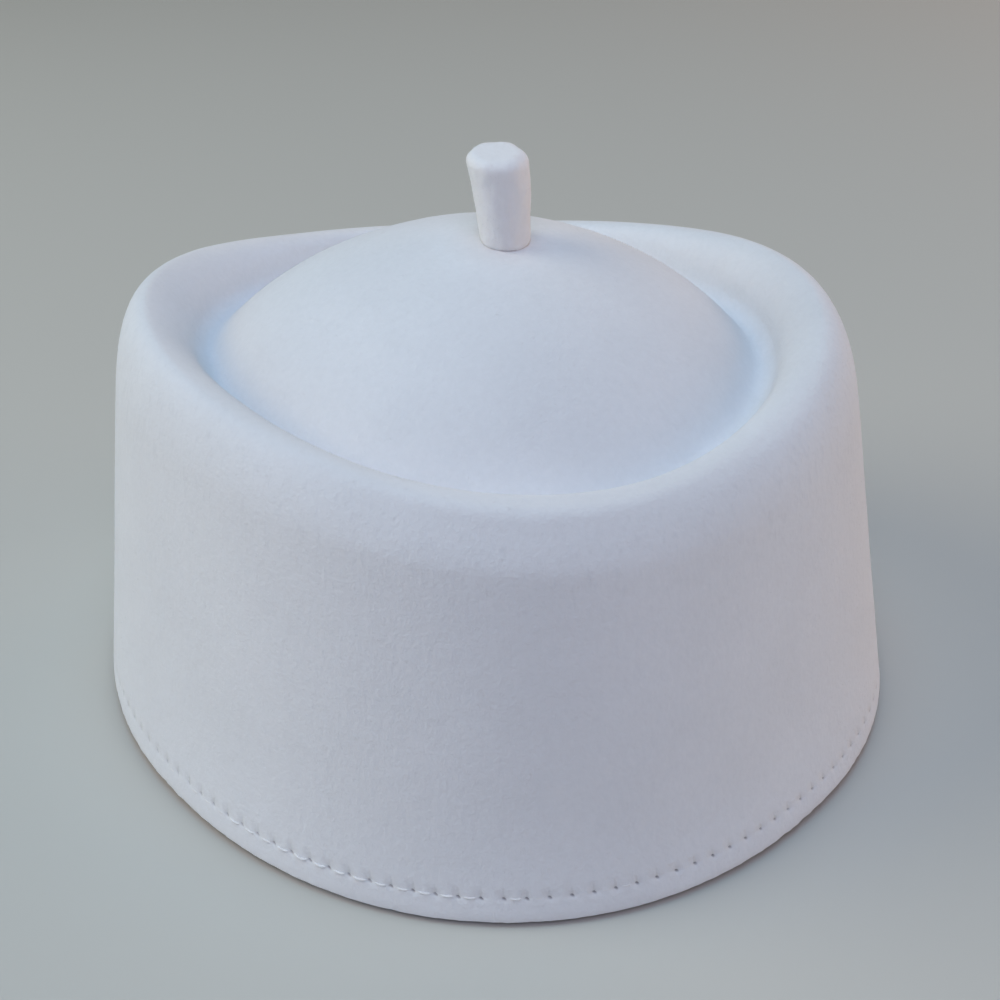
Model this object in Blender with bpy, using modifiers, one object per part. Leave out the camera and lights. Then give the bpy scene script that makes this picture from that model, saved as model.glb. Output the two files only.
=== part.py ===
"""White felt prayer cap: a tapered wall, a rolled rim, a ring groove and a domed crown, with a
short felt stalk on top. Metres, +Z up. The origin is the middle of the hem, on the surface that
the cap rests on, and the longer way of the oval hem lies along Y."""

import math

import bmesh
import bpy
from mathutils import Vector
from mathutils.geometry import interpolate_bezier

MM = 0.001

# The hem is an oval, a little squarer than an ellipse
HALF_WIDTH = 93.7 * MM
HALF_LENGTH = 100.0 * MM
OVAL_POWER = 2.18
MEAN_RADIUS = (HALF_WIDTH + HALF_LENGTH) / 2

# The outer face of the felt shell, on a round cap of the mean radius
FELT_THICKNESS = 2.5 * MM
HEM_BAND = 2.0 * MM
WALL_TAPER = 9.8 * MM
RIM_HEIGHT = 93.4 * MM
SHOULDER_RUN = 11.4 * MM
SHOULDER_RISE = 35.0 * MM
SHOULDER_ROUND = 0.5
LIP_RADIUS = 4.4 * MM
LIP_TURN = math.radians(66)
GROOVE_RADIUS = 4.0 * MM
CROWN_RADIUS = 79.2 * MM
CROWN_TOP = 112.3 * MM
CROWN_SHIFT = Vector((1.3, -0.8)) * MM

# The soft rim isn't level: it waves twice on its way round, and it tips a little to one side
WAVE_HEIGHT = 6.2 * MM
WAVE_TURN = math.radians(147)
TIP_HEIGHT = 1.7 * MM
TIP_TURN = math.radians(167)
GROOVE_SWAY = 0.37

# The stalk leans, widens to its cut end and has a softened edge there
STEM_PLACE = Vector((1.7, -7.4)) * MM
STEM_HEIGHT = 20.5 * MM
STEM_FOOT_RADIUS = 5.8 * MM
STEM_TOP_RADIUS = 6.8 * MM
STEM_EDGE = 1.2 * MM
STEM_LEAN = Vector((-1.3, 1.1)) * MM
STEM_BEND = 1.5
SEAT_GAP = 0.3 * MM

# Both are of matte white wool felt, and only the stalk's edges show as a crease in the shading
BODY_COLOUR = (0.80, 0.81, 0.83)
STEM_COLOUR = (0.82, 0.83, 0.84)
FELT_ROUGHNESS = 0.95
SHARP_ANGLE = math.radians(50)

# How finely each stretch of the felt's section and of the stalk's section is divided
CAP_STEPS = 64
WALL_STEPS = 5
SHOULDER_STEPS = 8
LIP_STEPS = 4
SLOPE_STEPS = 2
GROOVE_STEPS = 5
CROWN_STEPS = 9
STEM_STEPS = 20
STEM_SIDE_STEPS = 5
STEM_EDGE_STEPS = 3
MERGE = 0.01 * MM

CREST_RADIUS = MEAN_RADIUS - WALL_TAPER - SHOULDER_RUN
WALL_TOP = RIM_HEIGHT - SHOULDER_RISE
CROWN_CENTRE = CROWN_TOP - CROWN_RADIUS


def clear_scene():
    for item in list(bpy.data.objects):
        bpy.data.objects.remove(item, do_unlink=True)


def collection(name):
    made = bpy.data.collections.new(name)
    bpy.context.scene.collection.children.link(made)
    return made


def felt_material(name, colour):
    material = bpy.data.materials.new(name)
    material.use_nodes = True
    shader = material.node_tree.nodes["Principled BSDF"]
    shader.inputs["Base Color"].default_value = (*colour, 1.0)
    shader.inputs["Roughness"].default_value = FELT_ROUGHNESS
    shader.inputs["Metallic"].default_value = 0.0
    return material


def arc(centre, radius, start, end, steps):
    """Points of an arc, with angles counted from straight up and positive outwards. The first
    point is left out, because the stretch before it ends there."""
    points = []
    for step in range(1, steps + 1):
        angle = start + (end - start) * step / steps
        points.append((
            centre[0] + radius * math.sin(angle),
            centre[1] + radius * math.cos(angle),
        ))
    return points


def line(start, end, steps):
    """Points of a straight stretch, again without the first one."""
    return [tuple(Vector(start).lerp(Vector(end), step / steps)) for step in range(1, steps + 1)]


def shoulder(start, crest, steps):
    """Points of the outer shoulder, which leaves the wall along its slope and ends level."""
    wall_slope = Vector((-WALL_TAPER / WALL_TOP, 1.0))
    leaving = Vector(start) + wall_slope * SHOULDER_RISE * SHOULDER_ROUND
    arriving = Vector(crest) + Vector((SHOULDER_RUN * SHOULDER_ROUND, 0.0))
    points = interpolate_bezier(start, leaving, arriving, crest, steps + 1)
    return [tuple(point) for point in points[1:]]


def groove_centre():
    """The middle of the groove's round bottom, which touches the inner slope and the crown."""
    across = Vector((-math.sin(LIP_TURN), math.cos(LIP_TURN)))
    down = Vector((-math.cos(LIP_TURN), -math.sin(LIP_TURN)))
    lip_centre = Vector((CREST_RADIUS, RIM_HEIGHT - LIP_RADIUS))
    start = lip_centre + across * (LIP_RADIUS + GROOVE_RADIUS)
    from_crown = start - Vector((0.0, CROWN_CENTRE))
    reach = CROWN_RADIUS + GROOVE_RADIUS
    half = from_crown.dot(down)
    travel = -half - math.sqrt(half**2 - from_crown.length_squared + reach**2)
    return start + down * travel


def felt_section():
    """The section of the felt's outer face as (radius, height) points, from hem to crown top."""
    groove = groove_centre()
    crown_edge = math.atan2(groove.x, groove.y - CROWN_CENTRE)
    slope_foot = groove - GROOVE_RADIUS * Vector((-math.sin(LIP_TURN), math.cos(LIP_TURN)))
    crest = (CREST_RADIUS, RIM_HEIGHT)
    lip_centre = (CREST_RADIUS, RIM_HEIGHT - LIP_RADIUS)
    crown_centre = (0.0, CROWN_CENTRE)
    points = [(MEAN_RADIUS, 0.0)]
    points += line(points[-1], (MEAN_RADIUS, HEM_BAND), 1)
    points += line(points[-1], (MEAN_RADIUS - WALL_TAPER, WALL_TOP), WALL_STEPS)
    points += shoulder(points[-1], crest, SHOULDER_STEPS)
    points += arc(lip_centre, LIP_RADIUS, 0.0, -LIP_TURN, LIP_STEPS)
    points += line(points[-1], slope_foot, SLOPE_STEPS)
    points += arc(groove, GROOVE_RADIUS, math.pi - LIP_TURN, math.pi + crown_edge, GROOVE_STEPS)
    points += arc(crown_centre, CROWN_RADIUS, crown_edge, 0.0, CROWN_STEPS)
    return points


def turned(section, steps):
    """A skin made by turning (radius, height) points round Z, with its pole and seam merged."""
    skin = bmesh.new()
    corners = [skin.verts.new((radius, 0.0, height)) for radius, height in section]
    edges = [skin.edges.new(pair) for pair in zip(corners, corners[1:])]
    bmesh.ops.spin(
        skin,
        geom=corners + edges,
        cent=(0.0, 0.0, 0.0),
        axis=(0.0, 0.0, 1.0),
        angle=math.tau,
        steps=steps,
    )
    bmesh.ops.remove_doubles(skin, verts=skin.verts, dist=MERGE)
    bmesh.ops.recalc_face_normals(skin, faces=skin.faces)
    return skin


def sway_share(radius, height):
    """How much of the rim's wave a point takes: none at the hem, all of it on the rim, some in
    the groove and none at the crown's top."""
    groove = groove_centre()
    if radius >= CREST_RADIUS:
        return min(height / WALL_TOP, 1.0)
    if radius >= groove.x:
        inwards = (CREST_RADIUS - radius) / (CREST_RADIUS - groove.x)
        return 1.0 + (GROOVE_SWAY - 1.0) * inwards
    bottom = groove.y - GROOVE_RADIUS
    return GROOVE_SWAY * (CROWN_TOP - height) / (CROWN_TOP - bottom)


def rim_wave(turn):
    """How far the rim stands above its mean height in this direction."""
    wave = WAVE_HEIGHT * math.cos(2 * (turn - WAVE_TURN))
    return wave + TIP_HEIGHT * math.cos(turn - TIP_TURN)


def oval_share(cosine, sine):
    """How far out a direction reaches on the oval hem, as a share of an ellipse's own angle."""
    return (abs(cosine) ** OVAL_POWER + abs(sine) ** OVAL_POWER) ** (-1 / OVAL_POWER)


def shaped(point):
    """A point of the round, level skin, moved to its place on the oval cap with the waved rim."""
    radius = math.hypot(point.x, point.y)
    turn = math.atan2(point.y, point.x)
    groove_radius = groove_centre().x
    cosine = math.cos(turn)
    sine = math.sin(turn)
    inset = MEAN_RADIUS - max(radius, groove_radius)
    outwards = oval_share(cosine, sine) * min(radius / groove_radius, 1.0)
    crown_share = max(0.0, 1.0 - (radius / groove_radius) ** 2)
    return Vector((
        (HALF_WIDTH - inset) * outwards * cosine + CROWN_SHIFT.x * crown_share,
        (HALF_LENGTH - inset) * outwards * sine + CROWN_SHIFT.y * crown_share,
        point.z + rim_wave(turn) * sway_share(radius, point.z),
    ))


def crown_height(place):
    """The height of the crown's outer face over a place near its top."""
    away = (place - CROWN_SHIFT).length
    return CROWN_CENTRE + math.sqrt(CROWN_RADIUS**2 - away**2)


def mesh_object(name, skin, material, home):
    mesh = bpy.data.meshes.new(name)
    skin.to_mesh(mesh)
    skin.free()
    mesh.materials.append(material)
    made = bpy.data.objects.new(name, mesh)
    home.objects.link(made)
    mesh.shade_smooth()
    mesh.set_sharp_from_angle(angle=SHARP_ANGLE)
    return made


def felt_body(home):
    """One shell of even felt, open below, that goes from the hem over the rim to the crown."""
    skin = turned(felt_section(), CAP_STEPS)
    for vertex in skin.verts:
        vertex.co = shaped(vertex.co)
    body = mesh_object("felt_body", skin, felt_material("white_felt", BODY_COLOUR), home)
    wall = body.modifiers.new("felt_thickness", "SOLIDIFY")
    wall.thickness = FELT_THICKNESS
    wall.offset = -1.0
    wall.use_even_offset = True
    return body


def stem_section():
    """The stalk before it leans, as (radius, height) points from the middle of its foot."""
    edge_centre = (STEM_TOP_RADIUS - STEM_EDGE, STEM_HEIGHT - STEM_EDGE)
    points = [(0.0, 0.0), (STEM_FOOT_RADIUS, 0.0)]
    points += line(points[-1], (STEM_TOP_RADIUS, edge_centre[1]), STEM_SIDE_STEPS)
    points += arc(edge_centre, STEM_EDGE, math.pi / 2, 0.0, STEM_EDGE_STEPS)
    return points + [(0.0, STEM_HEIGHT)]


def stem(home):
    """The felt stalk: its foot follows the crown, a seat gap above it."""
    skin = turned(stem_section(), STEM_STEPS)
    for vertex in skin.verts:
        up = vertex.co.z / STEM_HEIGHT
        place = STEM_PLACE + vertex.co.xy + STEM_LEAN * up**STEM_BEND
        seat = crown_height(place) * (1.0 - up) + crown_height(STEM_PLACE) * up
        vertex.co = (*place, seat + SEAT_GAP + vertex.co.z)
    return mesh_object("stem", skin, felt_material("stalk_felt", STEM_COLOUR), home)


def main():
    clear_scene()
    cap = collection("prayer_cap")
    felt_body(cap)
    stem(cap)


main()
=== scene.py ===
# %% [markdown]
# # White felt prayer cap
#
# The cap is pressed from one piece of white wool felt: a wall that tapers, a soft rolled rim, a
# ring groove and a domed crown, with a short felt stalk on top and one row of sewing above the
# hem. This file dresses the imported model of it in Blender. The frame holds the plain solids that
# the finished pieces take the place of. Everything below is in metres, with +Z up and the middle
# of the hem at the origin.

import math

import bmesh
import bpy
from mathutils import Matrix, Vector
from mathutils import noise as hnoise
from mathutils.geometry import interpolate_bezier


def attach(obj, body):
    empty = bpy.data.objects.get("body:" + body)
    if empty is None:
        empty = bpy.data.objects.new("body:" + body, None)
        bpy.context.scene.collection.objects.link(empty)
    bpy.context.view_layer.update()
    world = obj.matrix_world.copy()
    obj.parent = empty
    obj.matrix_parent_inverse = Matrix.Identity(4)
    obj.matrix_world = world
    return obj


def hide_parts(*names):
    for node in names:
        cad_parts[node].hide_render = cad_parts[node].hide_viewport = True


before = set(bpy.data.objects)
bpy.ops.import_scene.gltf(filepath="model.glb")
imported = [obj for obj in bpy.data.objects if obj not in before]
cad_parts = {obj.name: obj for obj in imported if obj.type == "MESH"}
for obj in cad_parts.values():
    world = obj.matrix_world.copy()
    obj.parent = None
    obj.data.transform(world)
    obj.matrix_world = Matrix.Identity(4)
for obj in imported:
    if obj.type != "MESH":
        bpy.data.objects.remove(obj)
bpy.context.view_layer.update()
MM = 0.001

# %% [markdown]
# ## The camera
#
# The camera stands a little above the cap and looks down on it by about thirty degrees. A real
# photographer holds a phone a fraction out of level, so the camera rolls by under two degrees,
# and its lens is shifted a little, which slides the picture without turning the view.

# %% Camera
AIM = Vector((0.0, 0.0, 47.0)) * MM
VIEW_DISTANCE = 362.2 * MM
VIEW_AZIMUTH = math.radians(-41.97)
VIEW_ELEVATION = math.radians(30.49)
VIEW_ROLL = math.radians(-1.665)
LENS = 52.2
LENS_SHIFT = (0.01518, -0.01852)


def photo_camera():
    back = Vector((
        math.sin(VIEW_AZIMUTH) * math.cos(VIEW_ELEVATION),
        -math.cos(VIEW_AZIMUTH) * math.cos(VIEW_ELEVATION),
        math.sin(VIEW_ELEVATION),
    ))
    camera = bpy.data.objects.new("photo_camera", bpy.data.cameras.new("photo_camera"))
    bpy.context.scene.collection.objects.link(camera)
    camera.data.lens = LENS
    camera.data.shift_x, camera.data.shift_y = LENS_SHIFT
    camera.data.clip_start = 10 * MM
    turn = back.to_track_quat("Z", "Y").to_matrix() @ Matrix.Rotation(VIEW_ROLL, 3, "Z")
    camera.matrix_world = Matrix.Translation(AIM + back * VIEW_DISTANCE) @ turn.to_4x4()
    bpy.context.scene.camera = camera
    print("camera at, in mm:", [round(v / MM, 1) for v in camera.location])


photo_camera()

# %% [markdown]
# ## Small helpers for node trees
#
# Geometry Nodes and materials are both trees of nodes. `put` adds one node, sets its choices and
# fills its inputs, each with a number or with the output of another node. `made_mesh` turns what
# a modifier shows into a plain mesh, which is what the rest of the file works with.


# %% Node helpers
def put(tree, kind, *values, **settings):
    """One new node. Each value fills an input in order, and None leaves that input alone."""
    node = tree.nodes.new(kind)
    named = settings.pop("named", {})
    for name, setting in settings.items():
        setattr(node, name, setting)
    for slot, value in [*enumerate(values), *named.items()]:
        if isinstance(value, bpy.types.NodeSocket):
            tree.links.new(value, node.inputs[slot])
        elif value is not None:
            node.inputs[slot].default_value = value
    return node


def calc(tree, operation, *values):
    """The result of one Math node."""
    return put(tree, "ShaderNodeMath", *values, operation=operation).outputs[0]


def random_number(tree, low, high, seed):
    """A random number for each point, between two limits and always the same for one seed."""
    limits = {2: low, 3: high, 8: seed}
    return put(tree, "FunctionNodeRandomValue", data_type="FLOAT", named=limits).outputs[1]


def geometry_tree(name, sizes):
    """A new Geometry Nodes tree with a named input for each size. It gives (tree, inputs, the
    function that closes it)."""
    tree = bpy.data.node_groups.new(name, "GeometryNodeTree")
    tree.interface.new_socket("Geometry", in_out="INPUT", socket_type="NodeSocketGeometry")
    tree.interface.new_socket("Geometry", in_out="OUTPUT", socket_type="NodeSocketGeometry")
    for label, value in sizes.items():
        kind = "NodeSocketInt" if isinstance(value, int) else "NodeSocketFloat"
        kind = "NodeSocketObject" if isinstance(value, bpy.types.Object) else kind
        kind = "NodeSocketMaterial" if isinstance(value, bpy.types.Material) else kind
        tree.interface.new_socket(label, in_out="INPUT", socket_type=kind)
    inputs = tree.nodes.new("NodeGroupInput").outputs

    def close(shape, material):
        real = put(tree, "GeometryNodeRealizeInstances", shape).outputs[0]
        painted = put(tree, "GeometryNodeSetMaterial", real, named={"Material": material})
        put(tree, "NodeGroupOutput", painted.outputs[0])

    return tree, inputs, close


def run_tree(holder, tree, sizes):
    """Adds the tree to an object as a modifier, with each input set by its identifier."""
    modifier = holder.modifiers.new(tree.name, "NODES")
    modifier.node_group = tree
    for item in tree.interface.items_tree:
        if item.in_out == "INPUT" and item.name in sizes:
            modifier[item.identifier] = sizes[item.name]


def made_mesh(name, holder):
    """What the holder's modifiers make, as a new object with a plain mesh. The holder goes."""
    bpy.context.view_layer.update()
    evaluated = holder.evaluated_get(bpy.context.evaluated_depsgraph_get())
    mesh = bpy.data.meshes.new_from_object(evaluated)
    mesh.name = name
    bpy.data.objects.remove(holder)
    piece = bpy.data.objects.new(name, mesh)
    bpy.context.scene.collection.objects.link(piece)
    print(name, "has", sum(len(face.vertices) - 2 for face in mesh.polygons), "triangles")
    return piece


# %% [markdown]
# ## The felt's section
#
# A pressed hat is a turned shape, so its section says nearly everything: straight wall, round
# shoulder, lip, ring groove, flat dome. The section runs over the outer face from the crown to
# the hem, round the cut edge, and back over the inner face, one felt's thickness away. One
# section isn't enough here, because hands have pinched the rim at the front and back and left it
# soft at the sides. So there are two, with the same number of points, and the body blends from
# one to the other on its way round. Rounds get many points and straight stretches few, because
# light shows a round's facets first.

# %% Sizes of the section
HALF_WIDTH = 93.7 * MM
HALF_LENGTH = 100.0 * MM
OVAL_POWER = 2.18
MEAN_RADIUS = (HALF_WIDTH + HALF_LENGTH) / 2
FELT_THICKNESS = 2.5 * MM
HEM_ROUND = 0.45 * MM
WALL_SLOPE = 0.171
LIP_TURN = math.radians(72)
GROOVE_RADIUS = 3.0 * MM
CROWN_RADIUS = 79.2 * MM
CROWN_TOP = 112.3 * MM
CROWN_CENTRE = CROWN_TOP - CROWN_RADIUS

# The rim's lip is tight at the cap's front and back, and a wide soft roll at its two sides. Its
# arc reaches outwards by the angle over, and the shoulder is a curve from the wall to the lip
# that leaves the wall with the pull lead and meets the lip with the pull tail.
FRONT_RIM = {
    "crest": Vector((75.0, 93.65)) * MM,
    "lip": 3.9 * MM,
    "over": math.radians(62),
    "wall top": 81.5 * MM,
    "lead": 2.9 * MM,
    "tail": 2.9 * MM,
}
SIDE_RIM = {
    "crest": Vector((75.1, 92.2)) * MM,
    "lip": 9.5 * MM,
    "over": 0.0,
    "wall top": 72.5 * MM,
    "lead": 10.4 * MM,
    "tail": 5.0 * MM,
}
GROOVE_SWAY = 0.37
WALL_FOOT = 2.0 * MM
ROW_HEIGHT = 6.4 * MM
ROW_RADIUS = MEAN_RADIUS - WALL_SLOPE * (ROW_HEIGHT - WALL_FOOT)
HOLE_RADIUS = 0.5 * MM
STEPS = {
    "hem": 2,
    "below holes": 3,
    "holes": 2,
    "wall": 27,
    "shoulder": 16,
    "lip": 14,
    "slope": 3,
    "groove": 8,
    "crown": 32,
}
INNER_EVERY = 3


# %% The section
def arc(centre, radius, start, end, steps):
    """Points of an arc after its first one. Angles count from straight up, positive outwards."""
    turns = [start + (end - start) * step / steps for step in range(1, steps + 1)]
    return [Vector((centre[0] + radius * math.sin(a), centre[1] + radius * math.cos(a))) for a in turns]


def line(start, end, steps):
    """Points of a straight stretch after its first one."""
    return [Vector(start).lerp(Vector(end), step / steps) for step in range(1, steps + 1)]


def groove_centre(rim):
    """The middle of the groove's round bottom, which touches the inner slope and the crown."""
    across = Vector((-math.sin(LIP_TURN), math.cos(LIP_TURN)))
    down = Vector((-math.cos(LIP_TURN), -math.sin(LIP_TURN)))
    start = rim["crest"] - Vector((0.0, rim["lip"])) + across * (rim["lip"] + GROOVE_RADIUS)
    from_crown = start - Vector((0.0, CROWN_CENTRE))
    half = from_crown.dot(down)
    reach = CROWN_RADIUS + GROOVE_RADIUS
    return start - down * (half + math.sqrt(half**2 - from_crown.length_squared + reach**2))


def outer_section(rim):
    """The outer face as (radius, height) points, from just above the hem's cut edge upwards."""
    groove = groove_centre(rim)
    crown_edge = math.atan2(groove.x, groove.y - CROWN_CENTRE)
    slope_foot = groove - GROOVE_RADIUS * Vector((-math.sin(LIP_TURN), math.cos(LIP_TURN)))
    wall_foot = Vector((MEAN_RADIUS, WALL_FOOT))
    upwards = Vector((-WALL_SLOPE, 1.0))
    wall_top = wall_foot + upwards * (rim["wall top"] - wall_foot.y)
    lip_middle = rim["crest"] - Vector((0.0, rim["lip"]))
    lip_start = arc(lip_middle, rim["lip"], 0.0, rim["over"], 1)[0]
    leaving = wall_top + upwards * rim["lead"]
    arriving = lip_start + Vector((math.cos(rim["over"]), -math.sin(rim["over"]))) * rim["tail"]
    points = [Vector((MEAN_RADIUS, HEM_ROUND))]
    points += line(points[-1], wall_foot, STEPS["hem"])
    row = wall_foot.lerp(wall_top, (ROW_HEIGHT - wall_foot.y) / (wall_top.y - wall_foot.y))
    beside = (wall_top - wall_foot).normalized() * HOLE_RADIUS
    points += line(points[-1], row - beside, STEPS["below holes"])
    points += line(points[-1], row + beside, STEPS["holes"])
    points += line(points[-1], wall_top, STEPS["wall"])
    points += interpolate_bezier(points[-1], leaving, arriving, lip_start, STEPS["shoulder"])[1:]
    points += arc(lip_middle, rim["lip"], rim["over"], -LIP_TURN, STEPS["lip"])
    points += line(points[-1], slope_foot, STEPS["slope"])
    round_end = math.pi + crown_edge
    points += arc(groove, GROOVE_RADIUS, math.pi - LIP_TURN, round_end, STEPS["groove"])
    points += arc((0.0, CROWN_CENTRE), CROWN_RADIUS, crown_edge, 0.0, STEPS["crown"])
    return points


def inner_section(outer, every):
    """The inner face: every so many points of the outer one, set in by the felt's thickness."""
    inner = []
    for index in [*range(0, len(outer) - 1, every), len(outer) - 1]:
        before = outer[max(index - 1, 0)]
        after = outer[min(index + 1, len(outer) - 1)]
        along = (after - before).normalized()
        inwards = Vector((-along.y, along.x))
        inner.append(outer[index] + inwards * FELT_THICKNESS)
    inner[-1].x = 0.0
    return inner


def hem_edge():
    """The cut edge between the two faces, with its corners a little rounded by wear."""
    outer_middle = (MEAN_RADIUS - HEM_ROUND, HEM_ROUND)
    inner_middle = (MEAN_RADIUS - FELT_THICKNESS + HEM_ROUND, HEM_ROUND)
    points = arc(outer_middle, HEM_ROUND, math.pi / 2, math.pi, 5)
    points += line(points[-1], (inner_middle[0], 0.0), 2)
    return points + arc(inner_middle, HEM_ROUND, math.pi, 1.5 * math.pi, 4)


def sway_share(rim, place):
    """How much of the rim's wave a point takes: none at the hem, all of it on the rim, some in
    the groove and none at the crown's top."""
    crest, groove = rim["crest"], groove_centre(rim)
    if place.x >= crest.x:
        return min(place.y / rim["wall top"], 1.0)
    if place.x >= groove.x:
        inwards = (crest.x - place.x) / (crest.x - groove.x)
        return 1.0 + (GROOVE_SWAY - 1.0) * inwards
    bottom = groove.y - GROOVE_RADIUS
    return max(GROOVE_SWAY * (CROWN_TOP - place.y) / (CROWN_TOP - bottom), 0.0)


def whole_section(rim):
    """The section from the crown over the hem back to the crown, and each point's sway. A point
    of the inner face sways with the point outside it, so that the felt stays even."""
    outer = outer_section(rim)
    edge = hem_edge()
    inner = inner_section(outer, INNER_EVERY)[1:]
    beside = [*outer[:-1:INNER_EVERY], outer[-1]][1:]
    sway = [sway_share(rim, place) for place in [*reversed(outer), *edge, *beside]]
    return [*reversed(outer), *edge, *inner], sway


FRONT, FRONT_SWAY = whole_section(FRONT_RIM)
SIDE, SIDE_SWAY = whole_section(SIDE_RIM)
GROOVE = groove_centre(SIDE_RIM)
OUTER_LENGTH = sum((b - a).length for a, b in zip(FRONT, FRONT[1:len(outer_section(FRONT_RIM))]))
SHOULDER_AT = OUTER_LENGTH - FRONT_RIM["crest"].y
print(len(FRONT), "points, groove bottom at", round((GROOVE.y - GROOVE_RADIUS) / MM, 1), "mm")

# %% [markdown]
# ## The felt body
#
# The cap isn't round and its rim isn't level: the hem is an oval that stands a little off the
# table, more in some places than in others. The rim waves twice on its way round, tips a little
# to one side and has a third, smaller wave of its own. One could turn the section with Spin and
# then push the vertices about in Python. Geometry Nodes do both in one tree: a grid has a column
# for each direction and a row for each point of the section, and each of its points looks up its
# place in the section and moves there. The rule stays readable, and every size is an input.

# %% Sizes of the oval, the wave and the hem
CROWN_SHIFT = Vector((1.3, -0.8)) * MM
OVAL_SIZES = {
    "Half width": HALF_WIDTH,
    "Half length": HALF_LENGTH,
    "Oval power": OVAL_POWER,
    "Groove radius": GROOVE.x,
    "Wave height": 6.96 * MM,
    "Wave turn": math.radians(148),
    "Tip height": 1.94 * MM,
    "Tip turn": math.radians(146),
    "Third height": 0.86 * MM,
    "Third turn": math.radians(97),
    "Crown shift X": CROWN_SHIFT.x,
    "Crown shift Y": CROWN_SHIFT.y,
    "Lowest gap": 1.2 * MM,
    "Hem lift": 2.0 * MM,
    "Lift turn": math.radians(137),
    "Front turn": math.radians(228),
    "Hem flare": 1.35,
    "Hem tuck": 0.41,
    "Hem spread": 0.39 * MM,
    "Lift fade": 30.0 * MM,
}
STITCH_COUNT = 133
FIRST_STITCH = 0.875
HOLE_DEPTH = 1.0 * MM
HOLE_SHARE = HOLE_RADIUS * STITCH_COUNT / (math.tau * MEAN_RADIUS)


def section_holder():
    """The front's section as an object. Its points also hold the side's section, their sway and
    their distance along the felt, which the material uses to brush the nap."""
    mesh = bpy.data.meshes.new("felt_section")
    mesh.from_pydata([(p.x, 0.0, p.y) for p in FRONT], [], [])
    travel = [0.0]
    for before, after in zip(FRONT, FRONT[1:]):
        travel.append(travel[-1] + (after - before).length)
    near = 0.1 * MM
    on_row = [p.x > ROW_RADIUS - near and abs(p.y - ROW_HEIGHT) < near for p in FRONT]
    kept = {
        "front_radius": [p.x for p in FRONT],
        "front_height": [p.y for p in FRONT],
        "front_sway": FRONT_SWAY,
        "side_radius": [p.x for p in SIDE],
        "side_height": [p.y for p in SIDE],
        "side_sway": SIDE_SWAY,
        "travel": travel,
        "hole_row": [float(found) for found in on_row],
    }
    for name, values in kept.items():
        mesh.attributes.new(name, "FLOAT", "POINT").data.foreach_set("value", values)
    holder = bpy.data.objects.new("felt_section", mesh)
    bpy.context.scene.collection.objects.link(holder)
    return holder


# %% The rule that gives each point its place
def place_group():
    """A node group: a direction, a radius, a height and a share of the wave give a position."""
    tree = bpy.data.node_groups.new("oval_place", "GeometryNodeTree")
    for label, value in {"Turn": 0.0, "Radius": 0.0, "Height": 0.0, "Sway": 0.0, **OVAL_SIZES}.items():
        socket = tree.interface.new_socket(label, in_out="INPUT", socket_type="NodeSocketFloat")
        socket.default_value = value
    tree.interface.new_socket("Position", in_out="OUTPUT", socket_type="NodeSocketVector")
    given = tree.nodes.new("NodeGroupInput").outputs
    turn, radius, height = given["Turn"], given["Radius"], given["Height"]
    power = given["Oval power"]
    cosine = calc(tree, "COSINE", turn)
    sine = calc(tree, "SINE", turn)
    across = calc(tree, "POWER", calc(tree, "ABSOLUTE", cosine), power)
    along = calc(tree, "POWER", calc(tree, "ABSOLUTE", sine), power)
    oval = calc(tree, "POWER", calc(tree, "ADD", across, along), calc(tree, "DIVIDE", -1.0, power))
    share = calc(tree, "DIVIDE", radius, given["Groove radius"])

    def swing(start, times):
        return calc(tree, "COSINE", calc(tree, "MULTIPLY", calc(tree, "SUBTRACT", turn, start), times))

    low = calc(tree, "SUBTRACT", 1.0, calc(tree, "DIVIDE", height, given["Lift fade"]))
    near_hem = calc(tree, "POWER", calc(tree, "MAXIMUM", low, 0.0), 2.0)
    lifted = calc(tree, "MULTIPLY_ADD", swing(given["Lift turn"], 2.0), 0.5, 0.5)
    lift = calc(tree, "MULTIPLY_ADD", lifted, given["Hem lift"], given["Lowest gap"])
    front = calc(tree, "MAXIMUM", swing(given["Front turn"], 1.0), 0.0)
    flare = calc(tree, "SUBTRACT", calc(tree, "MULTIPLY", front, given["Hem flare"]), given["Hem tuck"])
    spread = calc(tree, "MULTIPLY", calc(tree, "POWER", front, 3.0), given["Hem spread"])
    spread = calc(tree, "MULTIPLY_ADD", lift, flare, spread)
    widened = calc(tree, "MULTIPLY_ADD", spread, near_hem, radius)
    lift = calc(tree, "MULTIPLY", lift, near_hem)
    inset = calc(tree, "SUBTRACT", MEAN_RADIUS, calc(tree, "MAXIMUM", widened, given["Groove radius"]))
    outwards = calc(tree, "MULTIPLY", oval, calc(tree, "MINIMUM", share, 1.0))
    squared = calc(tree, "MULTIPLY", share, share)
    crown = calc(tree, "MAXIMUM", calc(tree, "SUBTRACT", 1.0, squared), 0.0)

    def reach(half, direction, shift):
        size = calc(tree, "MULTIPLY", calc(tree, "SUBTRACT", half, inset), outwards)
        return calc(tree, "MULTIPLY_ADD", size, direction, calc(tree, "MULTIPLY", shift, crown))

    wave = calc(tree, "MULTIPLY", swing(given["Wave turn"], 2.0), given["Wave height"])
    rise = calc(tree, "MULTIPLY_ADD", swing(given["Tip turn"], 1.0), given["Tip height"], wave)
    rise = calc(tree, "MULTIPLY_ADD", swing(given["Third turn"], 3.0), given["Third height"], rise)
    position = put(
        tree, "ShaderNodeCombineXYZ",
        reach(given["Half width"], cosine, given["Crown shift X"]),
        reach(given["Half length"], sine, given["Crown shift Y"]),
        calc(tree, "ADD", calc(tree, "MULTIPLY_ADD", rise, given["Sway"], height), lift),
    )
    put(tree, "NodeGroupOutput", position.outputs[0])
    return tree


PLACE_GROUP = place_group()


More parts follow.
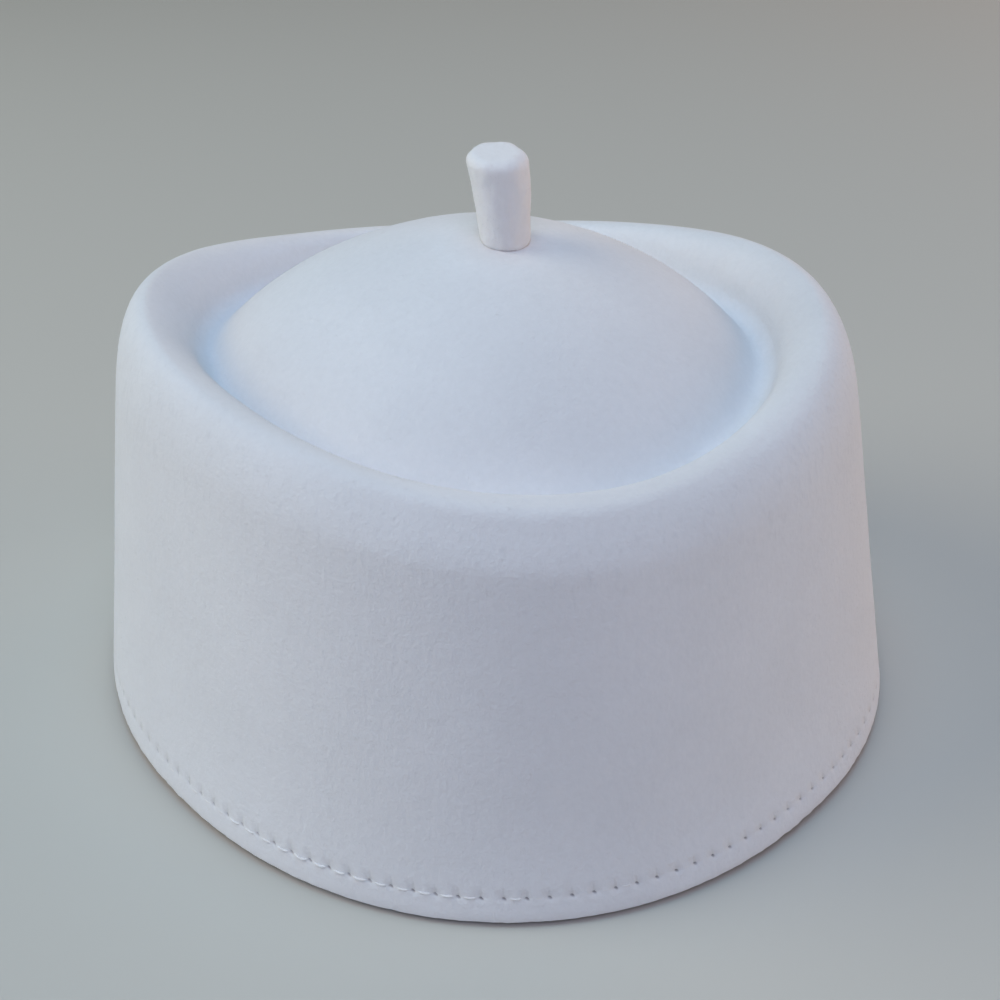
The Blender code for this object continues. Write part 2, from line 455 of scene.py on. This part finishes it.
def placed(tree, turn, radius, height, sway):
    """The position that the rule gives, as the output of a group node."""
    group = put(tree, "GeometryNodeGroup", node_tree=PLACE_GROUP)
    for label, value in (("Turn", turn), ("Radius", radius), ("Height", height), ("Sway", sway)):
        if isinstance(value, bpy.types.NodeSocket):
            tree.links.new(value, group.inputs[label])
        else:
            group.inputs[label].default_value = value
    return group.outputs["Position"]


# %% The tree that turns the section
def shell_tree(sizes):
    """Turns the section into the shell, with four columns of points for each stitch."""
    tree, inputs, close = geometry_tree("turned_felt", sizes)
    section = inputs["Geometry"]
    steps = calc(tree, "MULTIPLY", inputs["Stitches"], 4)
    rows = put(tree, "GeometryNodeAttributeDomainSize", section, component="MESH").outputs["Point Count"]
    grid = put(tree, "GeometryNodeMeshGrid", 1.0, 1.0, calc(tree, "ADD", steps, 1), rows)
    across, down, _ = put(tree, "ShaderNodeSeparateXYZ", grid.outputs["UV Map"]).outputs
    column = calc(tree, "ROUND", calc(tree, "MULTIPLY", across, steps))
    row = calc(tree, "ROUND", calc(tree, "MULTIPLY", down, calc(tree, "SUBTRACT", rows, 1)))
    stitch = calc(tree, "FLOOR", calc(tree, "DIVIDE", column, 4))
    quarter = calc(tree, "SUBTRACT", calc(tree, "MODULO", column, 4), 1)
    beside = calc(tree, "MULTIPLY", calc(tree, "MINIMUM", quarter, 1), inputs["Hole share"])
    past_hole = calc(tree, "MAXIMUM", calc(tree, "SUBTRACT", quarter, 1), 0)
    halfway = calc(tree, "MULTIPLY", past_hole, calc(tree, "SUBTRACT", 0.5, inputs["Hole share"]))
    stitch = calc(tree, "ADD", stitch, calc(tree, "ADD", beside, halfway))
    stitch = calc(tree, "ADD", stitch, inputs["First stitch"])
    turn = calc(tree, "MULTIPLY", calc(tree, "DIVIDE", stitch, inputs["Stitches"]), math.tau)

    def looked_up(name):
        value = put(tree, "GeometryNodeInputNamedAttribute", name, data_type="FLOAT").outputs[0]
        sample = put(tree, "GeometryNodeSampleIndex", data_type="FLOAT")
        tree.links.new(section, sample.inputs["Geometry"])
        tree.links.new(value, sample.inputs["Value"])
        tree.links.new(row, sample.inputs["Index"])
        return sample.outputs["Value"]

    double_turn = calc(tree, "MULTIPLY", calc(tree, "SUBTRACT", turn, inputs["Side turn"]), 2.0)
    side = calc(tree, "MULTIPLY_ADD", calc(tree, "COSINE", double_turn), 0.5, 0.5)

    def blended(what):
        front = looked_up("front_" + what)
        change = calc(tree, "SUBTRACT", looked_up("side_" + what), front)
        return calc(tree, "MULTIPLY_ADD", change, side, front)

    radius, height, sway = blended("radius"), blended("height"), blended("sway")
    travel = looked_up("travel")
    on_hole = calc(tree, "COMPARE", quarter, 0.0, 0.5)
    hole = calc(tree, "MULTIPLY", looked_up("hole_row"), on_hole)
    shape = put(tree, "GeometryNodeStoreNamedAttribute", grid.outputs["Mesh"], None, "travel", travel)
    # The hole attribute also tells the felt's material where to paint shade inside the holes.
    shape = put(tree, "GeometryNodeStoreNamedAttribute", shape.outputs[0], None, "hole", hole)
    sunk = calc(tree, "SUBTRACT", radius, calc(tree, "MULTIPLY", hole, inputs["Hole depth"]))
    position = placed(tree, turn, sunk, height, sway)
    shape = put(tree, "GeometryNodeSetPosition", shape.outputs[0], None, position)
    shape = put(tree, "GeometryNodeMergeByDistance", shape.outputs[0], None, 0.001 * MM)
    shape = put(tree, "GeometryNodeFlipFaces", shape.outputs[0])
    close(put(tree, "GeometryNodeSetShadeSmooth", shape.outputs[0]).outputs[0], inputs["Felt"])
    return tree


# %% [markdown]
# ## The felt's finish
#
# Wool felt is matte: light enters the fibres and leaves them in all directions, and the raised
# nap lifts the brightness a little where the surface turns away, which is what sheen does. The
# white isn't even. It has soft clouds a few centimetres wide, a grain of pressed fibres under a
# millimetre, and short streaks where the nap was brushed up and down the wall. Noise on Object
# coordinates gives the clouds and the grain. For the streaks the noise is squeezed along the
# felt's own section, with the distance that the body stores as an attribute. That distance also
# says where shade is painted into the colour: dark streaks on the shoulder as painted shade of
# small creases, and dark grey on the cut edge as a painted shadow of the gap under the hem. The
# needle holes get painted shade too, from the attribute that marks them. The stalk has neither
# attribute and so no painted shade.

# %% Tones of the felt and of its painted shade
FELT_LIGHT, FELT_SHADE = (0.84, 0.86, 0.89), (0.78, 0.80, 0.83)
STALK_LIGHT, STALK_SHADE = (0.93, 0.93, 0.94), (0.87, 0.87, 0.88)
# Painted shade: dark streaks on the shoulder stand in for the shade of small creases.
CREASE_SHADE_TONE = (0.50, 0.52, 0.56)
CREASE_SHADE_STRENGTH = 0.16
# Painted shadow: near-black grey on the cut edge stands in for the shadow in the gap under the hem.
CUT_EDGE_SHADOW_TONE = (0.20, 0.20, 0.21)
# Painted shade: the dark of the needle holes stands in for the shade inside them.
HOLE_SHADE_TONE = (0.13, 0.13, 0.14)
BUMP_HEIGHT = 0.12 * MM


# %% Material helpers
def mixed(tree, share, first, second):
    """A blend of two colours. None of the share is the first one, and all of it the second."""
    node = put(tree, "ShaderNodeMix", share, data_type="RGBA")
    for slot, value in ((6, first), (7, second)):
        if isinstance(value, bpy.types.NodeSocket):
            tree.links.new(value, node.inputs[slot])
        else:
            node.inputs[slot].default_value = (*value, 1.0)
    return node.outputs[2]


def noise(tree, vector, size, detail=2.0):
    """A noise whose lumps are about so many metres wide."""
    return put(tree, "ShaderNodeTexNoise", vector, None, 1.0 / size, detail).outputs[0]


def contrast(tree, value, low, high):
    """None at the low value, one at the high one and even between them. Low may be the larger."""
    return put(tree, "ShaderNodeMapRange", value, low, high).outputs[0]


def band(tree, value, start, full, fading, end):
    """One from `full` to `fading`, and none before `start` and after `end`."""
    rising = contrast(tree, value, start, full)
    falling = contrast(tree, value, end, fading)
    return calc(tree, "MULTIPLY", rising, falling)


def attribute(tree, name):
    """A value that the mesh stores, or zero on a mesh without it."""
    return put(tree, "ShaderNodeAttribute", attribute_name=name).outputs["Fac"]


# %% The patterns of the felt
def brushed_streaks(tree, place):
    """Noise that is drawn out along the felt's section, as a brush leaves the nap."""
    travel = calc(tree, "MULTIPLY", attribute(tree, "travel"), 0.35)
    flat = put(tree, "ShaderNodeVectorMath", place, (1.0, 1.0, 0.0), operation="MULTIPLY").outputs[0]
    along = put(tree, "ShaderNodeCombineXYZ", None, None, travel).outputs[0]
    brushed = put(tree, "ShaderNodeVectorMath", flat, along, operation="ADD").outputs[0]
    return noise(tree, brushed, 1.3 * MM, 3.0)


def felt_tone(tree, place, streaks, light, shade):
    """The uneven white: clouds, streaks and small mottles between the two tones."""
    clouds = contrast(tree, noise(tree, place, 28 * MM, 3.0), 0.35, 0.65)
    mottles = contrast(tree, noise(tree, place, 1.6 * MM, 3.0), 0.3, 0.7)
    share = calc(tree, "MULTIPLY", clouds, 0.5)
    share = calc(tree, "MULTIPLY_ADD", contrast(tree, streaks, 0.3, 0.7), 0.2, share)
    share = calc(tree, "MULTIPLY_ADD", mottles, 0.35, share)
    return mixed(tree, share, shade, light)


def with_painted_shade(tree, colour, streaks):
    """Adds painted shade: dark streaks on the shoulder for the shade of small creases, dark grey on
    the cut edge for the shadow in the gap under the hem, and dark in the needle holes for the shade
    inside them.
    """
    travel = attribute(tree, "travel")
    # Painted shade of small creases: streaks darken a band over the shoulder.
    crease_shade_band = band(tree, travel, *[SHOULDER_AT + place * MM for place in (-4, 4, 12, 26)])
    crease_shade = calc(tree, "MULTIPLY", contrast(tree, streaks, 0.53, 0.75), crease_shade_band)
    colour = mixed(tree, calc(tree, "MULTIPLY", crease_shade, CREASE_SHADE_STRENGTH), colour, CREASE_SHADE_TONE)
    # Painted shadow of the gap under the hem: the cut edge and the inner face beside it turn dark grey.
    cut_edge_shadow = band(tree, travel, *[OUTER_LENGTH + place * MM for place in (0.1, 0.6, 3.0, 4.0)])
    colour = mixed(tree, cut_edge_shadow, colour, CUT_EDGE_SHADOW_TONE)
    # Painted shade inside the needle holes.
    return mixed(tree, attribute(tree, "hole"), colour, HOLE_SHADE_TONE)


# %% Felt material
def felt_material(name, light, shade):
    material = bpy.data.materials.new(name)
    material.use_nodes = True
    tree = material.node_tree
    shader = tree.nodes["Principled BSDF"]
    shader.inputs["Roughness"].default_value = 1.0
    shader.inputs["Specular IOR Level"].default_value = 0.15
    shader.inputs["Sheen Weight"].default_value = 0.25
    shader.inputs["Sheen Roughness"].default_value = 0.6
    place = put(tree, "ShaderNodeTexCoord").outputs["Object"]
    streaks = brushed_streaks(tree, place)
    colour = with_painted_shade(tree, felt_tone(tree, place, streaks, light, shade), streaks)
    tree.links.new(colour, shader.inputs["Base Color"])
    grain = noise(tree, place, 0.9 * MM, 4.0)
    tufts = noise(tree, place, 3.5 * MM, 2.0)
    rough = calc(tree, "MULTIPLY_ADD", streaks, 0.6, grain)
    height = calc(tree, "MULTIPLY_ADD", tufts, 0.8, rough)
    bump = put(tree, "ShaderNodeBump", 1.0, BUMP_HEIGHT, named={"Height": height})
    tree.links.new(bump.outputs[0], shader.inputs["Normal"])
    return material


WHITE_FELT = felt_material("white_felt", FELT_LIGHT, FELT_SHADE)
STALK_FELT = felt_material("stalk_felt", STALK_LIGHT, STALK_SHADE)
print("materials:", WHITE_FELT.name, STALK_FELT.name)

# %% Turn the section
SHELL_SIZES = {
    "Stitches": STITCH_COUNT,
    "First stitch": FIRST_STITCH,
    "Side turn": math.radians(138),
    "Hole share": HOLE_SHARE,
    "Hole depth": HOLE_DEPTH,
    "Felt": WHITE_FELT,
}
holder = section_holder()
run_tree(holder, shell_tree(SHELL_SIZES), SHELL_SIZES)
felt_body = made_mesh("felt_body_felt", holder)

# %% [markdown]
# ## Soft unevenness
#
# A hand-blocked cap is never quite smooth. Broad shallow lumps come from uneven wool, and finer
# ones from steam and handling. The hem is cut, not folded, so its edge is a little frayed. A bump
# in the material would do for the surface, but it can't change an outline. So a second tree
# moves each point along its normal, by two noises that fade out towards the hem, and by a third
# one that acts only beside the cut.

# %% Lumps and fray
LUMP_SIZES = {
    "Broad size": 38 * MM,
    "Broad height": 0.55 * MM,
    "Fine size": 9 * MM,
    "Fine height": 0.12 * MM,
    "Hem fade": 12 * MM,
    "Fray size": 1.5 * MM,
    "Fray height": 0.7 * MM,
    "Fray width": 3.0 * MM,
    "Cut at": OUTER_LENGTH + 1.2 * MM,
    "Felt": WHITE_FELT,
}


def lump_tree(sizes):
    """Moves each point along its normal: lumps on the whole face, and fray beside the cut."""
    tree, inputs, close = geometry_tree("felt_lumps", sizes)
    place = put(tree, "GeometryNodeInputPosition").outputs[0]
    height = put(tree, "ShaderNodeSeparateXYZ", place).outputs["Z"]
    fade = calc(tree, "MINIMUM", calc(tree, "DIVIDE", height, inputs["Hem fade"]), 1.0)

    def lumps(kind):
        scale = calc(tree, "DIVIDE", 1.0, inputs[kind + " size"])
        field = put(tree, "ShaderNodeTexNoise", place, None, scale, 1.0).outputs[0]
        centred = calc(tree, "SUBTRACT", field, 0.5)
        return calc(tree, "MULTIPLY", centred, inputs[kind + " height"])

    travel = put(tree, "GeometryNodeInputNamedAttribute", "travel", data_type="FLOAT").outputs[0]
    from_cut = calc(tree, "ABSOLUTE", calc(tree, "SUBTRACT", travel, inputs["Cut at"]))
    away = calc(tree, "MINIMUM", calc(tree, "DIVIDE", from_cut, inputs["Fray width"]), 1.0)
    frayed = calc(tree, "MULTIPLY", lumps("Fray"), calc(tree, "SUBTRACT", 1.0, away))
    uneven = calc(tree, "ADD", lumps("Broad"), lumps("Fine"))
    out = calc(tree, "MULTIPLY_ADD", uneven, fade, frayed)
    normal = put(tree, "GeometryNodeInputNormal").outputs[0]
    offset = put(tree, "ShaderNodeVectorMath", normal, operation="SCALE", named={"Scale": out})
    moved = put(tree, "GeometryNodeSetPosition", inputs["Geometry"], None, None, offset.outputs[0])
    close(moved.outputs[0], inputs["Felt"])
    return tree


run_tree(felt_body, lump_tree(LUMP_SIZES), LUMP_SIZES)
felt_body = made_mesh("felt_body_felt", felt_body)

# %% [markdown]
# ## The sewing above the hem
#
# One row of machine stitches runs round the cap some six millimetres above the hem. Each stitch
# is a short stretch of white thread between two needle holes. On one side of the cap the thread
# lies on the felt, and on the other it has sunk in, so that mostly the holes show. The stitches
# repeat and follow the hem, which is what Geometry Nodes are for: a tree places one thread on
# every stitch, drops it onto the felt's surface, turns it along the row and stretches it from
# hole to hole. The holes themselves are already pressed into the body.

# %% Sizes of the sewing
THREAD_RADIUS = 0.30 * MM
THREAD_SPAN = 1.0 * MM
THREAD_SAG = 0.5 * MM
THREAD_DIVE = 1.1 * MM
THREAD_TWIST = 0.09
THREAD_SIDES = 8
THREAD_STEPS = 14
THREAD_DARK, THREAD_LIGHT = (0.78, 0.79, 0.80), (0.90, 0.91, 0.92)


# %% The tree that sews
def sewing_tree(name, sizes):
    """One thread halfway between each two holes of the row."""
    tree, inputs, close = geometry_tree(name, sizes)
    count = inputs["Count"]
    points = put(tree, "GeometryNodeMeshLine", count).outputs[0]
    index = put(tree, "GeometryNodeInputIndex").outputs[0]
    step = calc(tree, "DIVIDE", math.tau, count)
    middle = calc(tree, "ADD", calc(tree, "ADD", index, 0.5), inputs["First stitch"])
    turn = calc(tree, "MULTIPLY", middle, step)
    half_step = calc(tree, "MULTIPLY", step, 0.5)
    near = put(tree, "GeometryNodeObjectInfo", inputs["Cloth"], transform_space="RELATIVE")
    surface = near.outputs["Geometry"]

    def on_row(shift):
        return placed(tree, calc(tree, "MULTIPLY_ADD", half_step, shift, turn), ROW_RADIUS, ROW_HEIGHT, 0.0)

    def on_surface(value, place):
        sample = put(tree, "GeometryNodeSampleNearestSurface", surface, data_type="FLOAT_VECTOR")
        tree.links.new(value, sample.inputs["Value"])
        tree.links.new(place, sample.inputs["Sample Position"])
        return sample.outputs[0]

    position = put(tree, "GeometryNodeInputPosition").outputs[0]
    facing = put(tree, "GeometryNodeInputNormal").outputs[0]
    here = on_surface(position, on_row(0.0))
    normal = on_surface(facing, on_row(0.0))
    between = put(tree, "ShaderNodeVectorMath", on_row(1.0), on_row(-1.0), operation="SUBTRACT").outputs[0]
    length = put(tree, "ShaderNodeVectorMath", between, operation="LENGTH").outputs["Value"]
    turned = put(
        tree, "FunctionNodeAxesToRotation", normal, between, primary_axis="Z", secondary_axis="X"
    ).outputs[0]
    away = calc(tree, "DIVIDE", calc(tree, "SUBTRACT", turn, inputs["Loose turn"]), inputs["Loose width"])
    loose = calc(tree, "EXPONENT", calc(tree, "MULTIPLY", calc(tree, "MULTIPLY", away, away), -1.0))
    out = calc(tree, "MULTIPLY_ADD", loose, inputs["Loose rise"], inputs["Lowest"])
    jitter = random_number(tree, -1.0, 1.0, 7)
    out = calc(tree, "MULTIPLY_ADD", jitter, inputs["Uneven"], out)
    offset = put(tree, "ShaderNodeVectorMath", normal, operation="SCALE", named={"Scale": out}).outputs[0]
    points = put(tree, "GeometryNodeSetPosition", points, None, here, offset).outputs[0]
    stretch = calc(tree, "DIVIDE", length, inputs["Span"])
    scale = put(tree, "ShaderNodeCombineXYZ", stretch, 1.0, 1.0).outputs[0]
    shape = put(tree, "GeometryNodeObjectInfo", inputs["Shape"]).outputs["Geometry"]
    placed_shapes = put(
        tree, "GeometryNodeInstanceOnPoints", points, None, shape,
        named={"Rotation": turned, "Scale": scale},
    ).outputs[0]
    close(placed_shapes, inputs["Finish"])
    return tree


# %% One stitch
def bmesh_object(name, shape):
    """A smooth object from a bmesh, with its faces turned outwards."""
    bmesh.ops.recalc_face_normals(shape, faces=shape.faces)
    for face in shape.faces:
        face.smooth = True
    mesh = bpy.data.meshes.new(name)
    shape.to_mesh(mesh)
    shape.free()
    made = bpy.data.objects.new(name, mesh)
    bpy.context.scene.collection.objects.link(made)
    return made


def join_rings(shape, rings):
    """Faces between each ring of points and the next one."""
    for before, after in zip(rings, rings[1:]):
        for side in range(len(before)):
            other = (side + 1) % len(before)
            shape.faces.new((before[side], before[other], after[other], after[side]))


def stitch_thread():
    """A stretch of thread along X, one span long, that dives into a hole at each end."""
    thread = bmesh.new()
    rings = []
    for step in range(THREAD_STEPS + 1):
        share = step / THREAD_STEPS
        along = (share - 0.5) * THREAD_SPAN * 0.96
        dive = abs(2 * share - 1) ** 3
        sag = THREAD_SAG * (1 - (2 * share - 1) ** 2)
        middle = Vector((along, -sag, -dive * THREAD_DIVE))
        twist = 1.0 + THREAD_TWIST * math.cos(share * math.tau * 3)
        ring = []
        for side in range(THREAD_SIDES):
            angle = math.tau * side / THREAD_SIDES
            across = THREAD_RADIUS * twist * math.cos(angle)
            up = THREAD_RADIUS * 0.8 * math.sin(angle)
            ring.append(thread.verts.new(middle + Vector((0.0, across, up))))
        rings.append(ring)
    join_rings(thread, rings)
    thread.faces.new(reversed(rings[0]))
    thread.faces.new(rings[-1])
    return bmesh_object("stitch_thread", thread)


# %% Sew
def thread_material():
    """White thread with a fine twist in its tone and in its bump."""
    material = bpy.data.materials.new("white_thread")
    material.use_nodes = True
    tree = material.node_tree
    shader = tree.nodes["Principled BSDF"]
    shader.inputs["Roughness"].default_value = 0.7
    shader.inputs["Sheen Weight"].default_value = 0.2
    place = put(tree, "ShaderNodeTexCoord").outputs["Object"]
    twist = noise(tree, place, 0.35 * MM, 2.0)
    colour = mixed(tree, twist, THREAD_DARK, THREAD_LIGHT)
    tree.links.new(colour, shader.inputs["Base Color"])
    bump = put(tree, "ShaderNodeBump", 1.0, 0.08 * MM, named={"Height": twist})
    tree.links.new(bump.outputs[0], shader.inputs["Normal"])
    return material


one_stitch = stitch_thread()
SEWING_SIZES = {
    "Count": STITCH_COUNT,
    "First stitch": FIRST_STITCH,
    "Span": THREAD_SPAN,
    "Lowest": -0.34 * MM,
    "Loose rise": 0.44 * MM,
    "Loose turn": math.radians(206),
    "Loose width": math.radians(24),
    "Uneven": 0.13 * MM,
    "Shape": one_stitch,
    "Cloth": felt_body,
    "Finish": thread_material(),
}
holder = bpy.data.objects.new("hem_sewing", bpy.data.meshes.new("hem_sewing"))
bpy.context.scene.collection.objects.link(holder)
run_tree(holder, sewing_tree("hem_sewing", SEWING_SIZES), SEWING_SIZES)
hem_sewing = made_mesh("hem_sewing", holder)
bpy.data.objects.remove(one_stitch)

# %% [markdown]
# ## The stalk
#
# The stalk is a stub of firm rolled felt, cut off nearly square and stitched or felted to the
# crown. It widens a little towards the cut, leans, and keeps the uneven outline that the roll
# had, with soft corners round the cut. It's turned like the CAD's stalk, with many more points,
# and then each point is pushed out or in by a wave for the corners and by noise, so that neither
# the edge of the cut nor the sides are perfect.

# %% Sizes of the stalk
STEM_PLACE = Vector((1.7, -7.4)) * MM
STEM_HEIGHT = 20.7 * MM
STEM_FOOT_RADIUS = 5.65 * MM
STEM_FOOT_ROUND = 1.7 * MM
STEM_SINK = 0.4 * MM
STEM_TOP_RADIUS = 6.9 * MM
STEM_EDGE = 2.4 * MM
CUT_SLOPE = 0.13
CORNERS = 6
CORNER_DEPTH = 0.055
STEM_LEAN = Vector((-1.3, 1.1)) * MM
STEM_BEND = 1.5
STEM_TURNS = 96


# %% The stalk
def crown_height(place):
    """How high the crown's outer face is above a place on the table."""
    away = (place - CROWN_SHIFT).length
    return CROWN_CENTRE + math.sqrt(CROWN_RADIUS**2 - away**2)


def stem_section():
    """The stalk's outline as (radius, height) points, from the foot's middle to the cut's."""
    foot = (STEM_FOOT_RADIUS - STEM_FOOT_ROUND, STEM_FOOT_ROUND - STEM_SINK)
    edge = (STEM_TOP_RADIUS - STEM_EDGE, STEM_HEIGHT - STEM_EDGE)
    points = line((0.0, -STEM_SINK), (foot[0], -STEM_SINK), 4)
    points += arc(foot, STEM_FOOT_ROUND, math.pi, math.pi / 2, 5)
    points += line(points[-1], (STEM_TOP_RADIUS, edge[1]), 32)
    points += arc(edge, STEM_EDGE, math.pi / 2, 0.0, 7)
    return points + line(points[-1], (0.0, STEM_HEIGHT), 8)[:-1]


def stem_point(radius, height, turn):
    """A point of the stalk: uneven, cut to soft corners at its top, leaning, and with its foot
    on the crown."""
    up = max(height, 0.0) / STEM_HEIGHT
    direction = Vector((math.cos(turn), math.sin(turn)))
    cornered = 0.5 + 0.5 * math.cos(CORNERS * (turn - VIEW_AZIMUTH))
    radius *= 1.0 - CORNER_DEPTH * up**4 * (1.0 - cornered)
    field = Vector((*direction * 1.3, height / (9 * MM)))
    radius *= 1.0 + 0.045 * hnoise.noise(field) + 0.02 * hnoise.noise(field * 3.1)
    place = STEM_PLACE + direction * radius + STEM_LEAN * up**STEM_BEND
    seat = crown_height(place) * (1.0 - up) + crown_height(STEM_PLACE) * up
    away = Vector((-math.sin(VIEW_AZIMUTH), math.cos(VIEW_AZIMUTH)))
    slope = CUT_SLOPE * radius * direction.dot(away) * up**4
    return Vector((*place, seat + height + slope))


def stem_skin():
    """The stalk's closed skin: a ring of points for each point of its outline."""
    skin = bmesh.new()
    rings = []
    for point in stem_section():
        turns = [math.tau * step / STEM_TURNS for step in range(STEM_TURNS)]
        rings.append([skin.verts.new(stem_point(point.x, point.y, turn)) for turn in turns])
    join_rings(skin, rings)
    for ring, height in ((rings[0], -STEM_SINK), (rings[-1], STEM_HEIGHT)):
        middle = skin.verts.new(stem_point(0.0, height, 0.0))
        for step in range(STEM_TURNS):
            skin.faces.new((middle, ring[step], ring[(step + 1) % STEM_TURNS]))
    return skin


stem = bmesh_object("stem_felt", stem_skin())
stem.data.materials.append(STALK_FELT)
print("stem_felt has", len(stem.data.polygons), "faces")

# %% [markdown]
# ## The nap
#
# Wool felt is never bald: short fibre ends stand off its face, and against a dark ground they
# blur its outline. Real felt has far more of them than could be built, most of them too fine to
# see, so only some long ones are. One bent fibre is modelled, and Geometry Nodes scatter copies
# of it over the outer face, turned and sized at random from a fixed seed.

# %% Sizes of the nap
FIBRE_ROOT = Vector((0.0, 0.0, -0.15)) * MM
FIBRE_BEND = Vector((0.2, 0.03, 0.17)) * MM
FIBRE_TIP = Vector((0.72, -0.08, 0.28)) * MM
ROOT_RADIUS = 0.026
BEND_RADIUS = 0.022
FIBRE_SIDES = 3
NAP_SEED = 11
BODY_FIBRES = 0.22 / MM**2
STALK_FIBRES = 1.2 / MM**2


# %% One fibre
def nap_fibre():
    """A fibre that starts just inside the felt, leans over towards +X and ends in a point."""
    fibre = bmesh.new()
    rings = []
    for middle, radius in ((FIBRE_ROOT, ROOT_RADIUS), (FIBRE_BEND, BEND_RADIUS)):
        turns = [math.tau * step / FIBRE_SIDES for step in range(FIBRE_SIDES)]
        spokes = [Vector((math.cos(turn), math.sin(turn), 0.0)) * radius * MM for turn in turns]
        rings.append([fibre.verts.new(middle + spoke) for spoke in spokes])
    join_rings(fibre, rings)
    tip = fibre.verts.new(FIBRE_TIP)
    for step in range(FIBRE_SIDES):
        fibre.faces.new((rings[1][step], rings[1][(step + 1) % FIBRE_SIDES], tip))
    fibre.faces.new(rings[0])
    return bmesh_object("nap_fibre", fibre)


# %% The tree that scatters the fibres
def nap_tree(sizes):
    """A fibre on each of many random places of the cloth's outer face."""
    tree, inputs, close = geometry_tree("nap", sizes)
    cloth = put(tree, "GeometryNodeObjectInfo", inputs["Cloth"], transform_space="RELATIVE")
    travel = put(tree, "GeometryNodeInputNamedAttribute", "travel", data_type="FLOAT").outputs[0]
    outside = calc(tree, "LESS_THAN", travel, inputs["Outer length"])
    scattered = put(
        tree, "GeometryNodeDistributePointsOnFaces", cloth.outputs["Geometry"], outside,
        named={"Density": inputs["Density"], "Seed": inputs["Seed"]},
    )
    spin = random_number(tree, 0.0, math.tau, 3)
    spin = put(tree, "ShaderNodeCombineXYZ", 0.0, 0.0, spin).outputs[0]
    spin = put(tree, "FunctionNodeEulerToRotation", spin).outputs[0]
    turned = put(
        tree, "FunctionNodeRotateRotation", scattered.outputs["Rotation"], spin, rotation_space="LOCAL"
    ).outputs[0]
    size = random_number(tree, 0.6, 1.3, 5)
    shape = put(tree, "GeometryNodeObjectInfo", inputs["Shape"]).outputs["Geometry"]
    fibres = put(
        tree, "GeometryNodeInstanceOnPoints", scattered.outputs["Points"], None, shape,
        named={"Rotation": turned, "Scale": size},
    )
    close(fibres.outputs[0], inputs["Finish"])
    return tree


def nap_on(name, cloth, fibre, density, finish):
    """The nap of one piece, as its own plain mesh."""
    sizes = {
        "Cloth": cloth,
        "Shape": fibre,
        "Density": density,
        "Outer length": OUTER_LENGTH,
        "Seed": NAP_SEED,
        "Finish": finish,
    }
    base = bpy.data.objects.new(name, bpy.data.meshes.new(name))
    bpy.context.scene.collection.objects.link(base)
    run_tree(base, nap_tree(sizes), sizes)
    return made_mesh(name, base)


# %% Scatter
one_fibre = nap_fibre()
felt_nap = nap_on("felt_nap", felt_body, one_fibre, BODY_FIBRES, WHITE_FELT)
stem_nap = nap_on("stem_nap", stem, one_fibre, STALK_FIBRES, STALK_FELT)
bpy.data.objects.remove(one_fibre)

# %% [markdown]
# ## Give the pieces to the frame
#
# The felt body and the stalk take the place of the CAD's plain ones, and the sewing and the two
# naps are added to them. Each piece rides on the cap's one body.

# %% Ride and replace
for piece in (felt_body, felt_nap, hem_sewing, stem, stem_nap):
    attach(piece, "root")
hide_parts("felt_body")
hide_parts("stem")

# %% [markdown]
# ## The table and the light
#
# The cap stands on a plain pale surface in a room with soft light from several sides. Small
# lamps would draw sharp shadows, so each light is a disk over a metre wide, and a faint warm glow
# fills what they leave dark. A warm one stands high on the left, a bluish one above the camera
# and a cool one straight overhead. Three low ones lift the wall: a cool one on the left, and warm
# ones on the right and behind on the right. The stalk's cut and the crown come out brightest,
# and the front of the wall darkest.

# %% Sizes of the table and the lights
TABLE_HALF = 6.0
TABLE_TONE = (0.590, 0.588, 0.545)
LIGHT_SIZE = 1.2
LIGHT_DISTANCE = 1.8


# %% Table
def table():
    """A plain flat surface at the height of the hem's lowest point in the CAD."""
    top = bmesh.new()
    bmesh.ops.create_grid(top, x_segments=1, y_segments=1, size=TABLE_HALF)
    floor = bmesh_object("table", top)
    material = bpy.data.materials.new("table")
    material.use_nodes = True
    shader = material.node_tree.nodes["Principled BSDF"]
    shader.inputs["Base Color"].default_value = (*TABLE_TONE, 1.0)
    shader.inputs["Roughness"].default_value = 0.8
    floor.data.materials.append(material)


table()


# %% Lights
def soft_light(name, turn, rise, power, colour):
    """A large disk of light. The turn counts from the camera's side towards the right."""
    light = bpy.data.lights.new(name, "AREA")
    light.shape = "DISK"
    light.size = LIGHT_SIZE
    light.energy = power
    light.color = colour
    lamp = bpy.data.objects.new(name, light)
    bpy.context.scene.collection.objects.link(lamp)
    turn = VIEW_AZIMUTH - math.radians(90 - turn)
    rise = math.radians(rise)
    out = Vector((math.cos(turn) * math.cos(rise), math.sin(turn) * math.cos(rise), math.sin(rise)))
    facing = (-out).to_track_quat("-Z", "Y").to_matrix().to_4x4()
    lamp.matrix_world = Matrix.Translation(AIM + out * LIGHT_DISTANCE) @ facing
    print("light", name, "with", power, "W")


def surroundings(colour, strength):
    """An even glow from all sides."""
    world = bpy.data.worlds.new("surroundings")
    world.use_nodes = True
    background = world.node_tree.nodes["Background"]
    background.inputs["Color"].default_value = (*colour, 1.0)
    background.inputs["Strength"].default_value = strength
    bpy.context.scene.world = world


surroundings((1.0, 0.93, 0.86), 0.07)
soft_light("left", -90, 40, 10.4, (1.0, 0.85, 0.60))
soft_light("front", 0, 50, 10.4, (0.75, 0.74, 1.0))
soft_light("right_low", 90, 12, 7.2, (1.0, 0.76, 0.58))
soft_light("left_low", -90, 12, 7.0, (0.57, 0.80, 1.0))
soft_light("right_back", 135, 12, 6.5, (1.0, 0.64, 0.49))
soft_light("above", 0, 90, 9.9, (0.37, 0.74, 1.0))
bpy.context.scene.view_settings.view_transform = "Standard"
